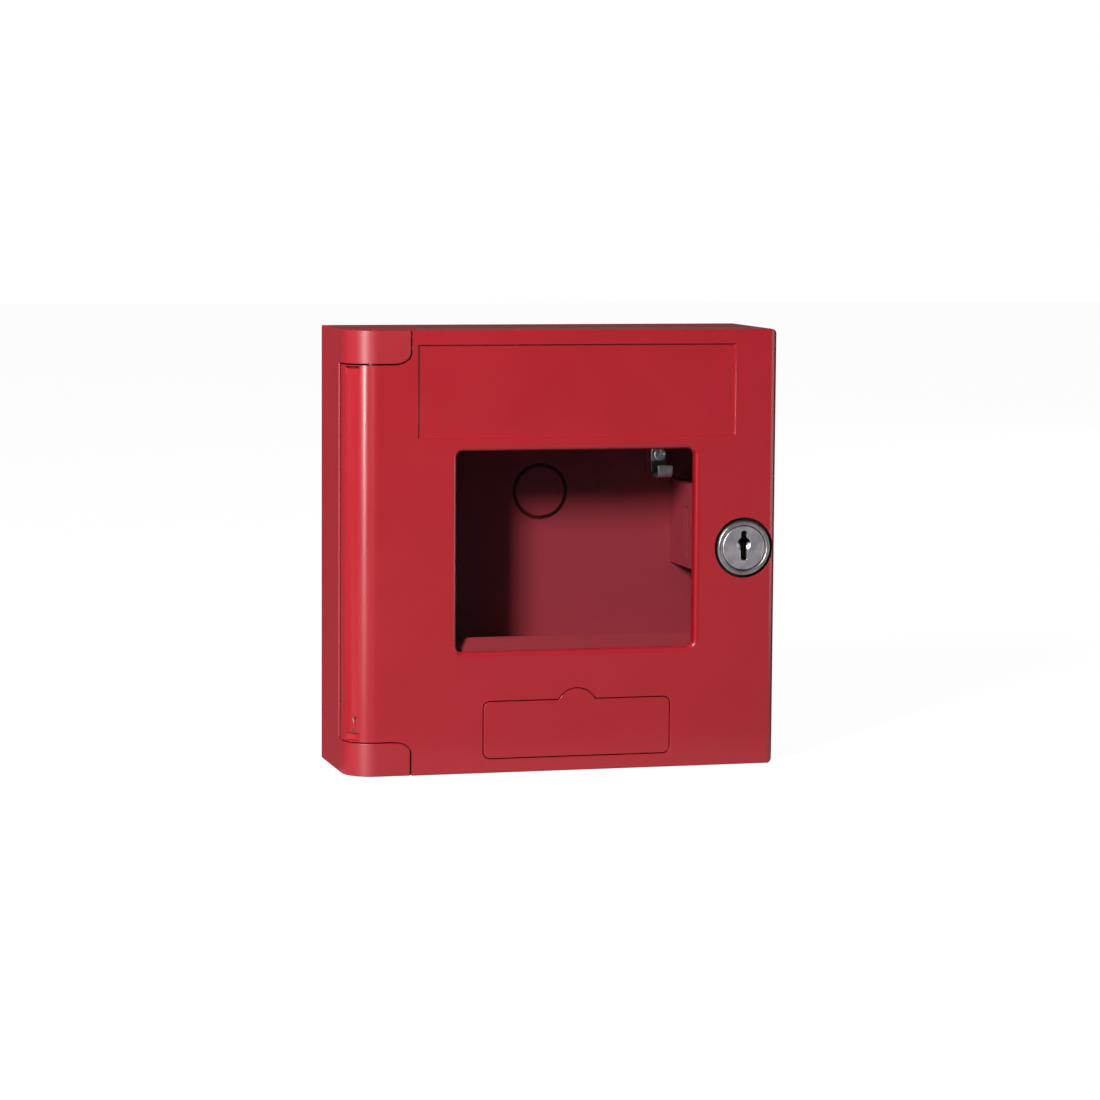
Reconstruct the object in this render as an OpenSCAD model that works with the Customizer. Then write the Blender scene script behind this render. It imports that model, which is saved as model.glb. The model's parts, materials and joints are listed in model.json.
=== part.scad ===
// Break-glass key box: a shallow wall case with a hinged, locked door and a glass pane.
// X runs right, Y runs back to the wall, Z runs up. The origin is the centre of the wall face.

/* [Case] */
// Overall width of the box
case_w = 138; // [136:1:170]
// Overall height of the box
case_h = 138; // [136:1:180]
// Depth from the wall to the face of the door
case_d = 41; // [40:0.5:60]
// Thickness of the moulded walls
wall_t = 2.5; // [2:0.1:3]
// How far the inner lip of the case reaches into the door
lip_h = 2.5; // [1.5:0.1:4]
// Thickness of the inner lip
lip_t = 1.2; // [1:0.1:1.6]
// Sideways gap between the lip and the door
lip_play = 0.3; // [0.2:0.05:0.5]
// Rounding of the edges at the opening side of the box
side_soft = 2.4; // [1:0.1:2.5]

/* [Hinge] */
// Radius of the rounded hinge side
barrel_r = 9.6; // [9:0.1:11]
// Height of each fixed hinge end
lug_h = 10.35; // [9:0.05:13]
// How far each fixed hinge end reaches across the face
lug_w = 19.7; // [18:0.1:23]
// Rounding of the inner corner of each fixed hinge end
lug_soft = 3.5; // [2:0.1:4]
// Gap between the door and the fixed hinge ends
hinge_gap = 0.4; // [0.3:0.05:0.6]
// Radius of each hinge pin
pin_r = 2; // [1.5:0.1:2.5]
// Length of each hinge pin inside the door
pin_reach = 6; // [4:0.5:7]
// Running clearance of the hinge pins in the door
pin_play = 0.06; // [0.03:0.01:0.09]

/* [Door] */
// Depth of the door from its face to its open edge
rim_depth = 14; // [13:0.1:16]
// Gap between the closed door and the case
seam_gap = 0.4; // [0.3:0.05:0.6]
// Width of the label recess
label_w = 101.7; // [90:0.1:104]
// Height of the label recess
label_h = 28.7; // [20:0.1:30]
// Sideways offset of the label recess
label_x = 4.25; // [3:0.05:5]
// Distance of the middle of the label recess below the top of the box
label_down = 18.95; // [18:0.05:20]
// Depth of the label recess
label_depth = 0.8; // [0.3:0.1:1.2]

/* [Window] */
// Width of the window
window_w = 76.4; // [60:0.1:77]
// Height of the window
window_h = 62.5; // [50:0.5:63]
// Sideways offset of the window
window_x = 3.8; // [2:0.1:4]
// Height of the middle of the window
window_z = 0.25; // [-1:0.05:1]
// Corner rounding of the window
window_r = 2; // [1:0.1:5]
// Depth from the face of the door to the glass
glass_set = 2.5; // [2.5:0.1:5]
// Thickness of the glass
glass_t = 1.5; // [1:0.1:2]
// How far the glass reaches behind the edge of the window
glass_lap = 4; // [3:0.1:4.5]
// Gap round the edge of the glass
glass_play = 0.4; // [0.2:0.05:0.5]
// Height of the ledge behind the glass above the foot of the window
ledge_h = 3.8; // [2:0.1:5]
// Height of the sloping part of the ledge
ledge_slope = 2.8; // [1:0.1:3]
// Gap between the glass and the ledge
ledge_gap = 0.25; // [0.1:0.05:0.4]

/* [Glass clips] */
// Distance of each clip from the middle of the window
clip_x = 26; // [16:0.5:30]
// Length of each clip from its pivot to its tip
clip_l = 9; // [8:0.1:9.2]
// Width of each clip
clip_w = 7; // [6:0.1:8]
// Thickness of each clip
clip_t = 1.5; // [1.2:0.1:2]

/* [Cover plate] */
// Width of the cover plate
cover_w = 60.1; // [50:0.1:64]
// Height of the cover plate
cover_h = 17.7; // [14:0.1:18]
// Sideways offset of the cover plate
cover_x = 4.35; // [3:0.05:6]
// Distance of the middle of the cover plate above the bottom of the box
cover_up = 13.45; // [13:0.05:14]
// Thickness of the cover plate
cover_t = 2; // [1.6:0.1:2.2]
// Gap round the cover plate
cover_gap = 0.3; // [0.25:0.05:0.5]
// Radius of the thumb tab on the cover plate
tab_r = 6.65; // [5:0.05:8]
// How far the thumb tab stands above the plate
tab_h = 3.5; // [2:0.1:4]

/* [Lock] */
// Distance of the lock from the opening side of the box
lock_edge = 10.6; // [10.5:0.1:12]
// Height of the lock above the middle
lock_z = 0; // [-2:0.5:2]
// Radius of the head of the lock
head_r = 8.75; // [8.5:0.05:9]
// Radius of the turning face in the head
face_r = 7.05; // [6.5:0.05:7.2]
// Gap round the head of the lock
head_gap = 0.8; // [0.5:0.05:1]
// Radius of the dish round the key slot
dish_r = 2.3; // [1.5:0.1:2.8]
// Radius of the body of the lock
body_r = 6.5; // [6.3:0.1:6.8]
// Radius of the turning plug
plug_r = 4.95; // [4.8:0.05:5]
// Running clearance of the plug
plug_play = 0.05; // [0.03:0.01:0.08]
// Length of the body of the lock behind the head
body_l = 16; // [15.5:0.1:17]
// Height of the key slot
slot_h = 9.4; // [8:0.1:10]
// Width of the key slot
slot_w = 1.8; // [1.4:0.1:2]
// Reach of the cam
cam_l = 15; // [14:0.1:16]
// Width of the cam
cam_w = 9; // [8:0.1:9.5]
// Thickness of the cam
cam_t = 2; // [1.6:0.1:2.4]

/* [Inside] */
// Drop of the shelf below the window
shelf_drop = 1; // [1:0.5:6]
// Reach of the shelf from the wall
shelf_d = 23; // [18:0.5:24]
// Height of the strike above the lock
strike_top = 19; // [15:0.5:22]
// Reach of the strike below the lock
strike_low = 8; // [7:0.5:12]
// Distance of the middle of the key hook from the strike
hook_off = 5.2; // [5:0.1:20]
// Width of the key hook strip
hook_w = 4.8; // [4:0.1:6]
// Reach of the key hook
hook_d = 9; // [8.5:0.1:11]
// Height of the turned-up tip of the key hook
hook_tip = 4; // [3:0.1:5]
// Radius of the knock-out disc in the wall plate
knock_r = 9.1; // [8:0.1:10]
// Sideways place of the knock-out disc
knock_x = 1.9; // [-20:0.1:20]
// Height of the knock-out disc
knock_z = 15.5; // [-15:0.5:20]
// Width of the groove round the knock-out disc
knock_groove = 1.2; // [0.6:0.1:1.6]

/* [Wall fixing] */
// Distance of the wall screws from the sides of the box
fix_side = 25; // [24:0.5:30]
// Distance of the wall screws from the top and bottom of the box
fix_end = 17; // [16.5:0.5:22]
// Radius of the wall screw holes
fix_r = 2.5; // [2:0.1:3]

/* [Hidden] */
$fn = 96;
bit = 0.01;
half_w = case_w / 2;
half_h = case_h / 2;
label_z = half_h - label_down;
cover_z = cover_up - half_h;
fix_x = half_w - fix_side;
fix_z = half_h - fix_end;
in_w = half_w - wall_t;
in_h = half_h - wall_t;
front_y = -case_d;
panel_y = front_y + wall_t;
seam_y = front_y + rim_depth;
case_y = seam_y + seam_gap;
plate_y = -wall_t;
hinge_x = -half_w + barrel_r;
hinge_y = front_y + barrel_r;
lug_z = half_h - lug_h;
barrel_z = lug_z - hinge_gap;
lug_r = sqrt(pow(lug_w - barrel_r, 2) + pow(barrel_r, 2));
sweep_r = barrel_r + 0.5;
disc_r = barrel_r - 1.1;
disc_h = 8;
window_left = window_x - window_w / 2;
window_right = window_x + window_w / 2;
window_low = window_z - window_h / 2;
window_top = window_z + window_h / 2;
shelf_z = window_low - shelf_drop;
shelf_over = 10;
shelf_left = window_left - shelf_over;
glass_y = front_y + glass_set;
glass_back = glass_y + glass_t;
glass_top = window_top + glass_lap;
glass_low = window_low - glass_lap;
seat_w = 1.5;
clip_z = glass_top + 5.5;
clip_back = glass_back + clip_t;
clip_hole = 0.9;
clip_screw_l = clip_back - panel_y + clip_hole - 0.1;
clip_screw_head = 2.8;
clip_post_r = 3.5;
ledge_y = glass_back + ledge_gap;
ledge_top = window_low + ledge_h;
ledge_foot = glass_low - glass_play - seat_w;
ledge_crest = 0.5;
ledge_over = 3;
screw_r = 1.25;
cover_y = front_y + cover_t;
cover_back = cover_y + 2.5;
cover_top = cover_z + cover_h / 2;
tab_z = cover_top + tab_h - tab_r;
leg_x = cover_w / 3;
leg_w = 6;
leg_t = 1.4;
leg_reach = 2;
lock_x = half_w - lock_edge;
lock_clear = glass_play + seat_w + 0.2;
head_y = front_y - 0.5;
head_back = front_y + 1.5;
face_y = head_y + 0.3;
boss_r = head_r + 1;
boss_y = panel_y + 2.5;
grip_t = 1.2;
grip_z = body_r - 1.5;
grip_left = body_r + 1.7;
grip_half = head_r - 1.3;
lock_end = head_back + body_l;
stop_t = 1;
cam_y = lock_end + stop_t;
cam_back = cam_y + cam_t;
tail = 5;
far = 3 * body_r;
stop_free = 112;
stop_tongue = 16;
stop_start = (stop_free - 90 - stop_tongue) / 2;
key_h = 7.6;
key_reach = 12;
wafer_w = 4.3;
wafer_t = 1;
wafer_step = 2.3;
wafer_in = 2.9;
hub_r = body_r - 0.5;
cam_screw_r = 1.4;
cam_screw_l = 8;
cam_washer_r = 4;
cam_washer_t = 0.7;
face_floor = front_y + 0.9;
strike_gap = 10.4;
strike_t = 2.5;
strike_x = lock_x - strike_gap - strike_t;
strike_y = cam_y - 2.7;
cam_rise = sqrt(pow(cam_l, 2) - pow(strike_gap, 2)) + 0.8;
pad_t = 3;
pad_w = 8;
pad_h = 13;
strip_h = 11.5;
knock_depth = 1.3;
groove_deep = 0.8;
rim_soft = 0.5;
slot_up = 0.7;
dish_up = 1.2;
dish_deep = 1;
dish_foot = 0.9;
hook_t = 1.2;
hook_y = plate_y - pad_t;
hook_x = strike_x - hook_off;
hook_z = lock_z + strike_top + 1.2;
hook_screw_z = hook_z + 7.1;
hook_screw_r = 1.3;

// A block between two X, two Y and two Z values
module block(x, y, z) {
    translate([x[0], y[0], z[0]])
        cube([x[1] - x[0], y[1] - y[0], z[1] - z[0]]);
}

// A flat outline drawn in X and Z, thick from one Y to another
module slab(y) {
    translate([0, y[1], 0])
        rotate([90, 0, 0])
            linear_extrude(y[1] - y[0])
                children();
}

// A round bar along Y
module rod(x, z, r, y) {
    slab(y)
        translate([x, z])
            circle(r);
}

// A round bar along Y that runs from one radius to another
module taper(x, z, r, y) {
    translate([x, y[0], z])
        rotate([-90, 0, 0])
            cylinder(r1 = r[0], r2 = r[1], h = y[1] - y[0]);
}

// A rectangle with rounded corners, centred
module soft_rect(w, h, r) {
    square([w - 2 * r, h], center = true);
    square([w, h - 2 * r], center = true);
    for (x = [-1, 1], z = [-1, 1])
        translate([x * (w / 2 - r), z * (h / 2 - r)])
            circle(r);
}

// An upright round bar on the hinge line
module hinge_rod(r, z) {
    translate([hinge_x, hinge_y, z[0]])
        cylinder(r = r, h = z[1] - z[0]);
}

// The turned shape of a fixed hinge end, grown by a gap where the door is cut round it
module lug_turn(side, gap) {
    r = lug_r + gap;
    soft = lug_soft + gap;
    low = lug_z - gap;
    top = half_h + 4 * gap;
    translate([hinge_x, hinge_y, 0])
        rotate([side > 0 ? 0 : 180, 0, 0])
            rotate_extrude() {
                translate([0, low])
                    square([r - soft, top - low]);
                translate([0, low + soft])
                    square([r, top - low - soft]);
                translate([r - soft, low + soft])
                    circle(soft);
            }
}

// What is cut off the two long corners at the opening side
module corner_cut() {
    for (s = [-1, 1])
        slab([front_y - 1, 1])
            difference() {
                translate([half_w - side_soft, s > 0 ? half_h - side_soft : -half_h - 1])
                    square(side_soft + 1);
                translate([half_w - side_soft, s * (half_h - side_soft)])
                    circle(side_soft);
            }
}

// What is cut off the upright front edge at the opening side
module front_cut() {
    difference() {
        block([half_w - side_soft, half_w + 1], [front_y - 1, front_y + side_soft],
            [-half_h - 1, half_h + 1]);
        translate([half_w - side_soft, front_y + side_soft, -half_h - 2])
            cylinder(r = side_soft, h = case_h + 4);
    }
}

// A cross-shaped driver recess, centred
module cross_recess(r) {
    square([2 * r, r / 2.4], center = true);
    square([r / 2.4, 2 * r], center = true);
}

// A pan-head screw whose head is at the back
module screw_from_back(x, z, r, head, y, l) {
    difference() {
        union() {
            rod(x, z, r, [y - l, y + bit]);
            rod(x, z, head, [y, y + head * 0.65]);
        }
        slab([y + head * 0.3, y + head])
            translate([x, z])
                cross_recess(head * 0.6);
    }
}

module fixed_hinge_end(side) {
    intersection() {
        lug_turn(side, 0);
        union() {
            hinge_rod(barrel_r, [-half_h, half_h]);
            block([hinge_x, half_w], [front_y, 0], [-half_h, half_h]);
            block([-half_w, half_w], [hinge_y, 0], [-half_h, half_h]);
        }
    }
}

module case_walls() {
    block([-half_w, half_w], [plate_y, 0], [-half_h, half_h]);
    block([-half_w, half_w], [case_y, 0], [in_h, half_h]);
    block([-half_w, half_w], [case_y, 0], [-half_h, -in_h]);
    block([in_w, half_w], [case_y, 0], [-half_h, half_h]);
    block([-half_w, -in_w], [seam_y, 0], [-half_h, half_h]);
}

// The lip runs along the top, the bottom and the opening side
module case_lip() {
    out_w = in_w - lip_play;
    out_h = in_h - lip_play;
    for (z = [[out_h - lip_t, out_h], [-out_h, lip_t - out_h]])
        block([hinge_x, out_w], [seam_y - lip_h, case_y + bit], z);
    for (z = [[out_h - lip_t, in_h + bit], [-in_h - bit, lip_t - out_h]])
        block([hinge_x, in_w + bit], [case_y, case_y + 5], z);
    block([out_w - lip_t, out_w], [seam_y - lip_h, case_y + bit], [-out_h, out_h]);
    block([out_w - lip_t, in_w + bit], [case_y, case_y + 5], [-out_h, out_h]);
}

module rear_case() {
    color("firebrick")
        difference() {
            union() {
                case_walls();
                difference() {
                    case_lip();
                    block([strike_x, in_w], [front_y, plate_y],
                        [lock_z - body_r - 2.5, lock_z + body_r + 2.5]);
                }
                fixed_hinge_end(1);
                fixed_hinge_end(-1);
                block([shelf_left, in_w + bit], [-shelf_d, plate_y + bit],
                    [shelf_z - 2, shelf_z]);
                block([strike_x, strike_x + strike_t], [strike_y, plate_y + bit],
                    [lock_z - strike_low, lock_z + strike_top]);
                block([hook_x - pad_w / 2, hook_x + pad_w / 2], [hook_y, plate_y + bit],
                    [hook_z, hook_z + pad_h]);
                for (x = [-1, 1], z = [-1, 1])
                    rod(x * fix_x, z * fix_z, fix_r + 3, [plate_y - 1.5, plate_y + bit]);
            }
            hinge_rod(sweep_r, [-lug_z, lug_z]);
            hinge_rod(pin_r, [lug_z - 1, half_h + 1]);
            hinge_rod(pin_r, [-half_h - 1, 1 - lug_z]);
            for (x = [-1, 1], z = [-1, 1])
                rod(x * fix_x, z * fix_z, fix_r, [-10, 1]);
            slab([plate_y - 1, plate_y + knock_depth])
                translate([knock_x, knock_z])
                    difference() {
                        circle(knock_r);
                        circle(knock_r - knock_groove);
                    }
            block([strike_x - 1, strike_x + strike_t + 1], [cam_y - 0.4, cam_back + 2.2],
                [lock_z - cam_w / 2 - 0.5, lock_z + cam_rise]);
            rod(hook_x, hook_screw_z, hook_screw_r, [plate_y - 5, -1]);
            corner_cut();
        }
}

module barrel() {
    start = 150;
    translate([hinge_x, hinge_y, -barrel_z])
        rotate([0, 0, start])
            rotate_extrude(angle = 270 - start)
                translate([barrel_r - wall_t, 0])
                    square([wall_t, 2 * barrel_z]);
    for (z = [-lug_z / 3 - 1, lug_z / 3 - 1])
        hinge_rod(disc_r, [z, z + 2]);
    hinge_rod(disc_r, [-barrel_z, disc_h - barrel_z]);
    hinge_rod(disc_r, [barrel_z - disc_h, barrel_z]);
}

// The outline of the glass, grown by a gap, and kept clear of the lock where they come close
module glass_outline(gap) {
    difference() {
        translate([window_x, window_z])
            square([window_w + 2 * glass_lap + 2 * gap, window_h + 2 * glass_lap + 2 * gap],
                center = true);
        lock_room(lock_clear - gap);
    }
}

// The room that the lock takes behind the face of the door, grown by a gap
module lock_room(gap) {
    translate([lock_x, lock_z]) {
        circle(boss_r + gap);
        translate([-grip_left - gap, -grip_half - gap])
            square([grip_left + body_r + 2 * gap, 2 * grip_half + 2 * gap]);
    }
}

// The pocket that the glass lies in, open to the back
module glass_pocket() {
    slab([glass_y, glass_back + 1])
        glass_outline(glass_play);
}

// The frame round the pocket
module glass_frame() {
    slab([panel_y - bit, glass_back - 0.2])
        glass_outline(glass_play + seat_w);
}

// The ledge that the foot of the glass stands behind, with a slope towards the window
module glass_ledge() {
    translate([window_left - ledge_over, 0, 0])
        rotate([90, 0, 90])
            linear_extrude(window_w + 2 * ledge_over)
                polygon([
                    [ledge_y, ledge_foot],
                    [ledge_y, ledge_top - ledge_slope],
                    [ledge_y + ledge_slope, ledge_top],
                    [ledge_y + ledge_slope + ledge_crest, ledge_top],
                    [ledge_y + ledge_slope + ledge_crest, ledge_foot]]);
    block([window_left - ledge_over, window_right + ledge_over], [panel_y - bit, ledge_y + bit],
        [ledge_foot, glass_low - glass_play]);
}

// The outline of the cover plate, grown by a gap
module cover_outline(gap) {
    translate([cover_x, cover_z])
        soft_rect(cover_w + 2 * gap, cover_h + 2 * gap, 2 + gap);
    translate([cover_x, tab_z])
        circle(tab_r + gap);
}

// The face and the rim of the door, cut back round the fixed hinge ends
module door_pan() {
    difference() {
        union() {
            block([hinge_x, half_w], [front_y, panel_y], [-half_h, half_h]);
            block([hinge_x, half_w], [front_y, seam_y], [in_h, half_h]);
            block([hinge_x, half_w], [front_y, seam_y], [-half_h, -in_h]);
            block([in_w, half_w], [front_y, seam_y], [-half_h, half_h]);
        }
        lug_turn(1, hinge_gap);
        lug_turn(-1, hinge_gap);
    }
}

module door() {
    color("crimson")
        difference() {
            union() {
                difference() {
                    union() {
                        door_pan();
                        glass_frame();
                    }
                    glass_pocket();
                }
                barrel();
                glass_ledge();
                for (x = [-1, 1])
                    rod(window_x + x * clip_x, clip_z, clip_post_r, [panel_y - bit, glass_back]);
                rod(lock_x, lock_z, boss_r, [panel_y - bit, boss_y]);
                block([cover_x - cover_w / 2 - 2.5, cover_x + cover_w / 2 + 2.5],
                    [panel_y - bit, cover_back], [-in_h - bit, cover_top + tab_h + 1.5]);
            }
            hinge_rod(pin_r + pin_play, [barrel_z - pin_reach - 0.5, half_h]);
            hinge_rod(pin_r + pin_play, [-half_h, pin_reach + 0.5 - barrel_z]);
            slab([front_y - 1, front_y + label_depth])
                translate([label_x, label_z])
                    square([label_w, label_h], center = true);
            slab([front_y - 1, glass_back])
                translate([window_x, window_z])
                    soft_rect(window_w, window_h, window_r);
            slab([front_y - 1, cover_y])
                cover_outline(cover_gap);
            for (x = [-1, 1])
                block([cover_x + x * leg_x - leg_w / 2 - 0.1, cover_x + x * leg_x + leg_w / 2 + 0.1],
                    [front_y, cover_back + 1], [cover_z - leg_t / 2 - 0.1, cover_z + leg_t / 2 + 0.1]);
            rod(lock_x, lock_z, head_r + head_gap, [front_y - 1, head_back]);
            slab([front_y, head_back + groove_deep])
                translate([lock_x, lock_z])
                    difference() {
                        circle(head_r + head_gap);
                        circle(head_r - 0.1);
                    }
            slab([front_y, boss_y + 1])
                translate([lock_x, lock_z])
                    body_outline(0);
            for (x = [-1, 1])
                rod(window_x + x * clip_x, clip_z, screw_r, [panel_y - clip_hole, 0]);
            for (s = [-1, 1])
                driver_notch(s);
            release_mark();
            corner_cut();
            front_cut();
        }
}

// The small recess beside each hinge end, where a driver frees the hinge
module driver_notch(s) {
    translate([hinge_x, hinge_y, s * (barrel_z - 1.7)])
        rotate([0, 0, 218])
            translate([barrel_r, 0, 0])
                cube([2, 5.8, 2.2], center = true);
}

// The small pointer above the lower recess
module release_mark() {
    translate([hinge_x, hinge_y, 7 - barrel_z])
        rotate([0, 0, 225])
            rotate([0, 90, 0])
                translate([0, 0, barrel_r - 0.4])
                    linear_extrude(2)
                        polygon([[0.9, 0], [-0.9, 0.9], [-0.9, -0.9]]);
}

module glass_pane() {
    color("lightcyan", 0.5)
        slab([glass_y, glass_back])
            glass_outline(0);
}

module glass_clip(x) {
    slab([glass_back, clip_back])
        translate([x, clip_z])
            difference() {
                union() {
                    circle(clip_w / 2);
                    translate([-clip_w / 2, clip_w / 2 - clip_l])
                        square([clip_w, clip_l - clip_w / 2]);
                    translate([0, clip_w / 2 - clip_l])
                        circle(clip_w / 2);
                }
                circle(screw_r + 0.08);
            }
}

module glass_clip_left() {
    color("gainsboro")
        glass_clip(window_x - clip_x);
}

module glass_clip_right() {
    color("gainsboro")
        glass_clip(window_x + clip_x);
}

module glass_screw_left() {
    color("silver")
        screw_from_back(window_x - clip_x, clip_z, screw_r, clip_screw_head, clip_back,
            clip_screw_l);
}

module glass_screw_right() {
    color("silver")
        screw_from_back(window_x + clip_x, clip_z, screw_r, clip_screw_head, clip_back,
            clip_screw_l);
}

module hinge_pin_upper() {
    color("silver")
        hinge_rod(pin_r, [barrel_z - pin_reach, half_h - 0.5]);
}

module hinge_pin_lower() {
    color("silver")
        hinge_rod(pin_r, [0.5 - half_h, pin_reach - barrel_z]);
}

// The section of the lock body: round, with a flat above and below
module body_outline(gap) {
    intersection() {
        circle(body_r + gap);
        square([4 * body_r, 2 * body_r - 1.4 + 2 * gap], center = true);
    }
}

module lock_housing() {
    color("gainsboro")
        difference() {
            union() {
                taper(lock_x, lock_z, [head_r - rim_soft, head_r], [head_y, head_y + rim_soft]);
                rod(lock_x, lock_z, head_r, [head_y + rim_soft, head_back]);
                slab([head_back - bit, lock_end])
                    translate([lock_x, lock_z])
                        body_outline(0);
                slab([lock_end - bit, cam_y - 0.1])
                    translate([lock_x, lock_z])
                        stop_ring();
            }
            rod(lock_x, lock_z, plug_r + plug_play, [head_y - 1, cam_y + 1]);
            rod(lock_x, lock_z, face_r + plug_play, [head_y - 1, face_floor]);
            taper(lock_x, lock_z, [face_r + rim_soft, face_r + plug_play],
                [head_y - bit, head_y + rim_soft - plug_play]);
            for (s = [-1, 1])
                block([lock_x - body_r - 1, lock_x + body_r + 1], [boss_y, boss_y + grip_t],
                    s > 0 ? [lock_z + grip_z, lock_z + body_r] : [lock_z - body_r, lock_z - grip_z]);
        }
}

// The part ring that limits the plug to a quarter turn
module stop_ring() {
    difference() {
        body_outline(0);
        circle(plug_r + plug_play);
        square([far, far]);
        rotate([0, 0, stop_free - 90])
            square([far, far]);
    }
}

module lock_plug() {
    color("silver")
        difference() {
            union() {
                taper(lock_x, lock_z, [face_r - 0.3, face_r], [face_y, face_y + 0.3]);
                rod(lock_x, lock_z, face_r, [face_y + 0.3, face_floor - 0.05]);
                rod(lock_x, lock_z, plug_r, [face_floor - 0.1, lock_end]);
                block([lock_x - tail / 2, lock_x + tail / 2], [lock_end - bit, cam_back],
                    [lock_z - tail / 2, lock_z + tail / 2]);
            }
            taper(lock_x, lock_z + dish_up, [dish_r, dish_foot], [face_y - bit, face_y + dish_deep]);
            slab([head_y - 1, face_floor - 0.1])
                translate([lock_x, lock_z + slot_up])
                    soft_rect(slot_w + 0.2, slot_h, 0.9);
            block([lock_x - slot_w / 2, lock_x + slot_w / 2], [head_y, front_y + key_reach],
                [lock_z - key_h / 2, lock_z + key_h / 2]);
            for (i = [0:3])
                block([lock_x - wafer_w / 2 - 0.05, lock_x + wafer_w / 2 + 0.05],
                    [wafer_y(i) - 0.03, wafer_y(i) + wafer_t + 0.03],
                    [lock_z - body_r, lock_z + body_r]);
            rod(lock_x, lock_z, cam_screw_r, [cam_back - cam_screw_l - 1, 0]);
        }
}

function wafer_y(i) = front_y + wafer_in + wafer_step * i;

module lock_wafers() {
    color("goldenrod")
        for (i = [0:3])
            slab([wafer_y(i), wafer_y(i) + wafer_t])
                translate([lock_x, lock_z])
                    difference() {
                        square([wafer_w, 2 * plug_r - 1.1], center = true);
                        translate([0, (i % 2 - 0.5) * 0.5])
                            square([2.1, 5.6], center = true);
                    }
}

module lock_clip() {
    color("silver")
        slab([boss_y, boss_y + grip_t])
            translate([lock_x, lock_z])
                difference() {
                    translate([-grip_left, -grip_half])
                        square([grip_left + body_r + 0.2, 2 * grip_half]);
                    translate([-body_r - 0.2, -grip_z])
                        square([body_r * 4, 2 * grip_z]);
                }
}

module stop_washer() {
    color("silver")
        slab([lock_end, cam_y])
            translate([lock_x, lock_z])
                difference() {
                    union() {
                        circle(plug_r - 0.35);
                        intersection() {
                            circle(body_r - 0.9);
                            rotate([0, 0, stop_start])
                                square([far, far]);
                            rotate([0, 0, stop_start + stop_tongue - 90])
                                square([far, far]);
                        }
                    }
                    square(tail, center = true);
                }
}

module lock_cam() {
    color("gainsboro")
        slab([cam_y, cam_back])
            translate([lock_x, lock_z])
                difference() {
                    union() {
                        circle(hub_r);
                        translate([-cam_w / 2, 0])
                            square([cam_w, cam_l - cam_w / 2]);
                        translate([0, cam_l - cam_w / 2])
                            circle(cam_w / 2);
                    }
                    square(tail, center = true);
                }
}

module cam_washer() {
    color("silver")
        slab([cam_back, cam_back + cam_washer_t])
            translate([lock_x, lock_z])
                difference() {
                    circle(cam_washer_r);
                    circle(cam_screw_r + 0.15);
                }
}

module cam_screw() {
    color("silver")
        screw_from_back(lock_x, lock_z, cam_screw_r, 3, cam_back + cam_washer_t,
            cam_screw_l);
}

module key_hook() {
    left = hook_x - hook_w / 2;
    right = hook_x + hook_w / 2;
    color("gainsboro")
        difference() {
            union() {
                block([left, right], [hook_y - hook_t, hook_y], [hook_z, hook_z + strip_h]);
                block([left, right], [hook_y - hook_d, hook_y], [hook_z, hook_z + hook_t]);
                block([left, right], [hook_y - hook_d, hook_y - hook_d + hook_t],
                    [hook_z, hook_z + hook_tip]);
            }
            rod(hook_x, hook_screw_z, hook_screw_r + 0.1, [hook_y - 2, hook_y + 1]);
        }
}

module hook_screw() {
    head = hook_w / 2 - 0.1;
    color("silver")
        difference() {
            union() {
                rod(hook_x, hook_screw_z, hook_screw_r, [hook_y - hook_t - bit, -1.2]);
                rod(hook_x, hook_screw_z, head, [hook_y - hook_t - 1.9, hook_y - hook_t]);
            }
            slab([hook_y - hook_t - 3, hook_y - hook_t - 0.8])
                translate([hook_x, hook_screw_z])
                    cross_recess(head * 0.6);
        }
}

module cover_plate() {
    color("crimson") {
        slab([front_y, cover_y])
            cover_outline(0);
        for (x = [-1, 1])
            block([cover_x + x * leg_x - leg_w / 2, cover_x + x * leg_x + leg_w / 2],
                [cover_y - bit, cover_back + leg_reach], [cover_z - leg_t / 2, cover_z + leg_t / 2]);
    }
}

rear_case();
door();
glass_pane();
glass_clip_left();
glass_clip_right();
glass_screw_left();
glass_screw_right();
hinge_pin_upper();
hinge_pin_lower();
lock_housing();
lock_plug();
lock_wafers();
lock_clip();
stop_washer();
lock_cam();
cam_washer();
cam_screw();
key_hook();
hook_screw();
cover_plate();
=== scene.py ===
# %% [markdown]
# # A break-glass key box
# The box is a shallow red plastic case that hangs on a wall. Its door turns on two pins at the
# left, a small lock holds it at the right, and a key hangs behind a pane of glass.
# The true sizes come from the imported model, which is loaded first and stays as it is. This
# lesson dresses it: softened edges, moulded plastic, plated metal, glass, and a plain studio.

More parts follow.
